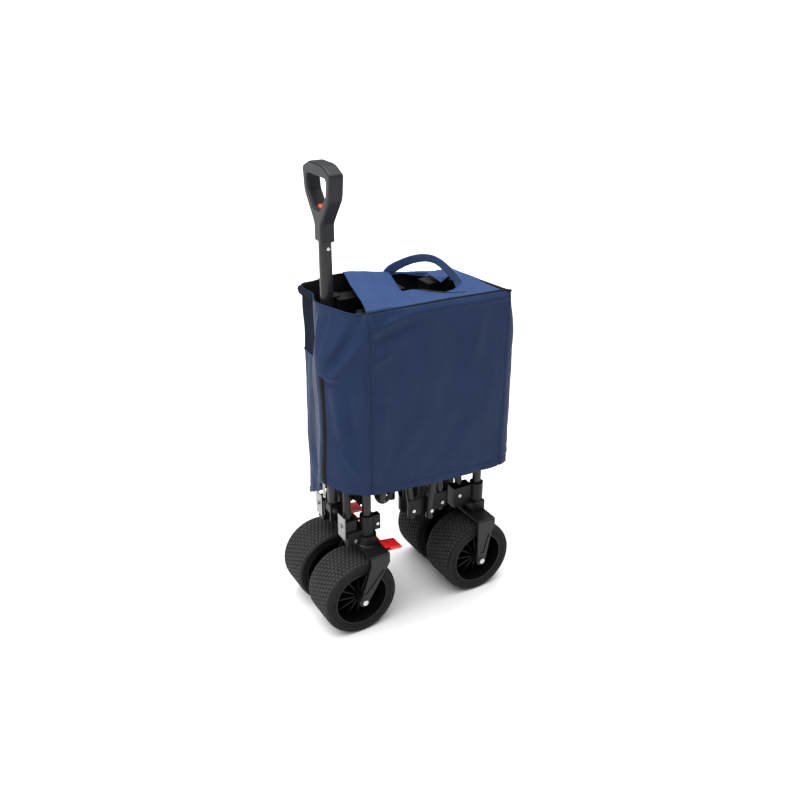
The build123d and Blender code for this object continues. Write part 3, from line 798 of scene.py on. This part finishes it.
def strapPoint(u, v):
    count = len(strapSet["line"])
    place = u * (count - 1)
    i = min(int(place), count - 2)
    f = place - i
    line = [Vector(p) for p in strapSet["line"]]
    a, b, c, d = (line[int(clamp(i + k, 0, count - 1))] for k in (-1, 0, 1, 2))
    point = splineAt(a, b, c, d, f)
    way = (c - b).normalized()
    turn = math.radians(mix(strapSet["twist"][i], strapSet["twist"][i + 1], f))
    flat = way.cross(Vector((0, 0, 1))).normalized()
    up = flat.cross(way)
    side = flat * math.cos(turn) + up * math.sin(turn)
    cup = up * -0.8 * (2 * v - 1) ** 2
    return (point + side * (v - 0.5) * strapSet["width"] + cup) * mm


bm = clothGrid(110, 14, strapPoint, (0.20, 0.025))
strap = newPiece("carryStrap", bm, [look["strap"], look["strapUnder"]], "cover", ["carry_strap"])
if sum(p.normal.y for p in strap.data.polygons) > 0:
    strap.data.flip_normals()
thicken(strap, strapSet["thick"], 1)
bm = bmesh.new()
for v in (0.1, 0.9):
    line = [strapPoint(k / 120, v) + Vector((0, 0, 0.0002)) for k in range(2, 100)]
    stitchRow(bm, line, 0.0035, 0.0024, 0.00025)
newPiece("strapStitches", bm, look["thread"], "cover")

print("zip")
zipSet = {"low": 404, "high": 664, "tape": 13, "pitch": 1.7, "place": (-220.67, -60.55)}
zipTurn = min((k / 200 for k in range(2 * 200, 6 * 200)),
              key=lambda t: (curveAt(baseLine, t).xy - Vector(zipSet["place"])).length)
zipArc = arcAt(zipTurn)


def zipPoint(u, v):
    z = mix(zipSet["low"] - 2, zipSet["high"], v)
    bow = 3.0 * math.sin(math.pi * v) + 1.2 * math.sin(3 * math.pi * v)
    return wallPoint(turnAt(zipArc + (u - 0.5) * zipSet["tape"] + bow), z, 0.7)


bm = clothGrid(12, 110, zipPoint, (0.013, 0.26), flip=True)
zipTape = newPiece("zipTape", bm, look["lining"], "cover", ["zip_tape"])
if zipTape.data.polygons[0].normal.x > 0:
    zipTape.data.flip_normals()
thicken(zipTape, 0.6)
bm = bmesh.new()
count = int((zipSet["high"] - zipSet["low"]) / zipSet["pitch"])
for k in range(count):
    v = (k + 0.5) / count
    a, b = zipPoint(0.31, v), zipPoint(0.69, v)
    addRod(bm, a + outwards(zipTurn) * 0.0006, b + outwards(zipTurn) * 0.0006, 0.00062, sides=6)
newPiece("zipCoil", bm, look["zip"], "cover")
bm = bmesh.new()
for aside in (-1, 1):
    line = [zipPoint(0.5 + aside * 1.15, k / 130) for k in range(131)]
    stitchRow(bm, line, 0.0042, 0.003, 0.0003)
newPiece("zipStitches", bm, look["thread"], "cover")

print("folded bed cloth")
bedSet = {"left": -72, "right": 124, "deep": 33, "low": 490, "high": 760, "layers": 9}


def bedPoint(u, v):
    # a serpentine of layers, each a little uneven
    leg = u * bedSet["layers"]
    i = min(int(leg), bedSet["layers"] - 1)
    f = leg - i
    y = mix(-bedSet["deep"], bedSet["deep"], (i + smooth(0.86, 1.0, f) * 0.5) / (bedSet["layers"] - 0.5))
    x = mix(bedSet["left"] + 4, bedSet["right"] - 4, f if i % 2 == 0 else 1 - f)
    x += 5 * noise.noise(Vector((i * 3.1, v * 2.2, 0.4))) * (2 * abs(f - 0.5)) ** 3
    z = mix(bedSet["low"], bedSet["high"], v) + 9 * noise.noise(Vector((u * 6, 2.0, v))) * abs(2 * v - 1)
    y += 1.6 * noise.noise(Vector((x / 40, i * 5.0, z / 50)))
    return Vector((x, y, z)) * mm


bm = clothGrid(270, 40, bedPoint, (1.75, 0.27))
bedArea = sum(f.calc_area() for f in bm.faces)
bed = newPiece("foldedBed", bm, look["bed"], "frame", ["bed_fabric"])
thicken(bed, 1.2)

print("tyres")
tyreSet = {"radius": 95.25, "half": 53, "bore": 70, "shoulder": 4.2, "blocks": 54, "rows": 9, "pitch": 10.6,
           "top": 0.0938, "deep": 3.0,
           "side": [(0, -9), (0.6, -3), (2.2, -0.6), (3.4, -0.1), (4.6, -0.6), (7.6, -1.3),
                    (8.2, -2.0), (8.9, -0.5), (9.6, 0), (13.5, 0), (16.5, -0.3)]}


def tyreOutline():
    # (radius, offset along the axle) from one bead over the tread to the other, in mm
    base = tyreSet["radius"] - tyreSet["deep"]
    half, turn = tyreSet["half"], tyreSet["shoulder"]
    side = [(tyreSet["bore"] + r, half + y) for r, y in tyreSet["side"]]
    side += [(base - turn + turn * math.sin(a), half - turn + turn * math.cos(a))
             for a in [math.radians(90 * k / 8) for k in range(0, 9)]]
    return side + [(r, -y) for r, y in reversed(side)]


def spinAll(bm, geom, centre, steps, copies=False, turn=360.0):
    return bmesh.ops.spin(bm, geom=geom, cent=centre, axis=(0, 1, 0), dvec=(0, 0, 0), angle=math.radians(turn),
                          steps=steps, use_merge=not copies, use_normal_flip=False, use_duplicate=copies)


for corner, (x, y) in {"front_left": (-168.5, -73.5), "front_right": (-168.5, 73.5),
                       "rear_left": (168.5, -73.5), "rear_right": (168.5, 73.5)}.items():
    centre = Vector((x, y, 95.25)) * mm
    bm = bmesh.new()
    verts = [bm.verts.new(centre + Vector((0, offset, radius)) * mm) for radius, offset in tyreOutline()]
    edges = [bm.edges.new(pair) for pair in zip(verts, verts[1:])]
    spinAll(bm, verts + edges, centre, 128)
    bmesh.ops.recalc_face_normals(bm, faces=bm.faces)
    carcass = bm
    tread = bmesh.new()
    rows = tyreSet["rows"]
    for row in range(rows):
        offset = (row - (rows - 1) / 2) * tyreSet["pitch"]
        phase = math.pi / tyreSet["blocks"] if row % 2 else 0
        radius = tyreSet["radius"] - tyreSet["deep"] / 2 - 0.1
        lean = 0.14 * smooth(32, 43, abs(offset)) * math.copysign(1, offset)
        place = (Matrix.Translation(centre) @ Matrix.Rotation(phase, 4, "Y")
                 @ Matrix.Translation(Vector((0, offset, radius - 0.7 * smooth(32, 43, abs(offset)))) * mm)
                 @ Matrix.Rotation(-lean, 4, "X") @ Matrix.Rotation(math.radians(30), 4, "Z"))
        bmesh.ops.create_cone(tread, cap_ends=True, segments=6, radius1=0.0059, radius2=0.0045,
                              depth=tyreSet["deep"] * mm, matrix=place)
    topEdges = [e for e in tread.edges if all((v.co - centre).xz.length > tyreSet["top"] for v in e.verts)]
    bmesh.ops.bevel(tread, geom=topEdges,
                    offset=0.0005, offset_type="OFFSET", affect="EDGES", segments=1, profile=0.5, material=-1)
    spinAll(tread, tread.verts[:] + tread.edges[:] + tread.faces[:], centre, tyreSet["blocks"] - 1, True,
            360 * (tyreSet["blocks"] - 1) / tyreSet["blocks"])
    for face in tread.faces:
        face.material_index = 1
    blocks = bpy.data.meshes.new("blocks")
    tread.to_mesh(blocks)
    tread.free()
    carcass.from_mesh(blocks)
    bpy.data.meshes.remove(blocks)
    newPiece("tyreTread" + corner.title().replace("_", ""), carcass, [look["tyre"], look["tread"]],
             "wheel_" + corner, ["tyre_" + corner], angle=34)

print("small parts")
# edges of the mouldings and pressings are broken by a small round
edgeSet = {"fork_": 0.9, "knuckle_": 0.8, "upper_brackets": 0.8, "mid_brackets": 0.8, "grip_": 0.6,
           "brake_pedal": 1.1, "front_plates": 0.3, "handle_foot": 0.8, "handle_bracket": 0.6}
for name, obj in nodes.items():
    for start, width in edgeSet.items():
        if name.startswith(start) and name != "grip_screws":
            edge = obj.modifiers.new("edge", "BEVEL")
            edge.width = width * mm
            edge.segments = 2
            edge.limit_method = "ANGLE"
            edge.angle_limit = math.radians(40)
            edge.harden_normals = True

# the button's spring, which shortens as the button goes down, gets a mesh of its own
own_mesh(nodes["button_spring"])

# curved link under the folded side bars, with its rivet
linkSet = {"line": [(-92, 338), (-90, 320), (-80, 307), (-66, 306), (-55, 318), (-44, 338)], "y": -64,
           "width": 11,
           "rivetAt": (-73, -64.6, 308), "rivet": 3.6}
linkLine = [Vector((x, 0, z)) for x, z in linkSet["line"]]


def linkPoint(u, v):
    place = u * (len(linkLine) - 1)
    i = min(int(place), len(linkLine) - 2)
    f = place - i
    a, b, c, d = (linkLine[int(clamp(i + k, 0, len(linkLine) - 1))] for k in (-1, 0, 1, 2))
    point = splineAt(a, b, c, d, f)
    across = Vector((-(c - b).z, 0, (c - b).x)).normalized()
    return (point + across * (v - 0.5) * linkSet["width"] + Vector((0, linkSet["y"], 0))) * mm


bm = clothGrid(40, 6, linkPoint, (0.07, 0.011))
link = newPiece("curvedLink", bm, look["casting"], "frame")
link.modifiers.new("thickness", "SOLIDIFY").thickness = 0.005
edge = link.modifiers.new("edge", "BEVEL")
edge.width, edge.segments = 0.001, 2
bm = bmesh.new()
rivetPlace = Matrix.Translation(Vector(linkSet["rivetAt"]) * mm) @ Matrix.Diagonal((1, 0.5, 1, 1))
bmesh.ops.create_uvsphere(bm, u_segments=20, v_segments=12, radius=linkSet["rivet"] * mm, matrix=rivetPlace)
newPiece("linkRivet", bm, look["bolt"], "frame")

# the cart's own folded cloth hanging among the front posts
foldSet = {"x": (-122, -92), "y": (-34, 34), "z": (292, 470), "layers": 5}


def hangPoint(u, v):
    leg = u * foldSet["layers"]
    i = min(int(leg), foldSet["layers"] - 1)
    f = leg - i
    x = mix(*foldSet["x"], (i + smooth(0.8, 1.0, f)) / foldSet["layers"])
    y = mix(*foldSet["y"], f if i % 2 == 0 else 1 - f)
    x += 2.4 * noise.noise(Vector((y / 22, i * 4.0, v * 3)))
    z = mix(*foldSet["z"], v) + (1 - v) * 14 * noise.noise(Vector((y / 30, i * 2.3, 1)))
    return Vector((x, y, z)) * mm


bm = clothGrid(130, 40, hangPoint, (0.36, 0.18))
hangArea = sum(f.calc_area() for f in bm.faces)
hanging = newPiece("hangingCloth", bm, look["lining"], "frame")
thicken(hanging, 1.0)
